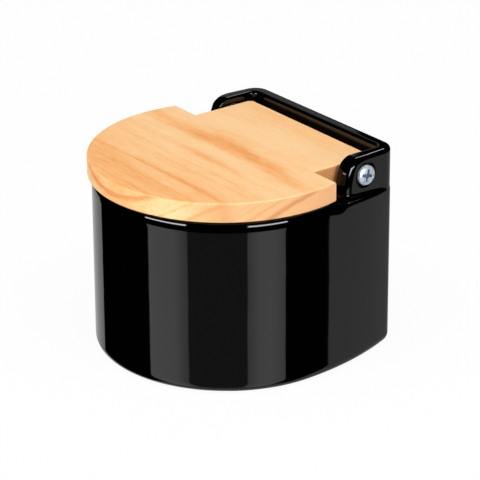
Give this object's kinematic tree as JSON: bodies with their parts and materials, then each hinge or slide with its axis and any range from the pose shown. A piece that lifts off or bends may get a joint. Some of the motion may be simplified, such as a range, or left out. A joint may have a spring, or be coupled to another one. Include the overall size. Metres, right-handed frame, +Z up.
{
  "type": "salt box",
  "caption": "Ceramic salt box with a rounded front, a flat back and a wooden lid that turns up between two ears on side screws.",
  "frame": {"origin": "on the surface the pot stands on, midway between the front of the lid and the flat back of the pot", "axes": "+X to the right seen from the front, -Y towards the rounded front, +Z up; the part is symmetric about X = 0"},
  "size_m": [0.121, 0.117, 0.0939],
  "materials": {
    "glaze": "glossy black glaze over pale stoneware",
    "pine": "smooth sanded light softwood",
    "zinc": "bright zinc plated steel",
    "nylon": "black nylon"
  },
  "bodies": {
    "pot": {"ceramic_pot": "glaze", "right_bush": "nylon", "left_bush": "nylon"},
    "lid": {"wooden_lid": "pine", "right_screw": "zinc", "left_screw": "zinc"}
  },
  "joints": [
    {"name": "lid_hinge", "type": "hinge", "parent": "pot", "child": "lid", "pos_m": [0, 0.0397, 0.0855], "axis": [-1, 0, 0], "range_deg": [0, 124]}
  ]
}
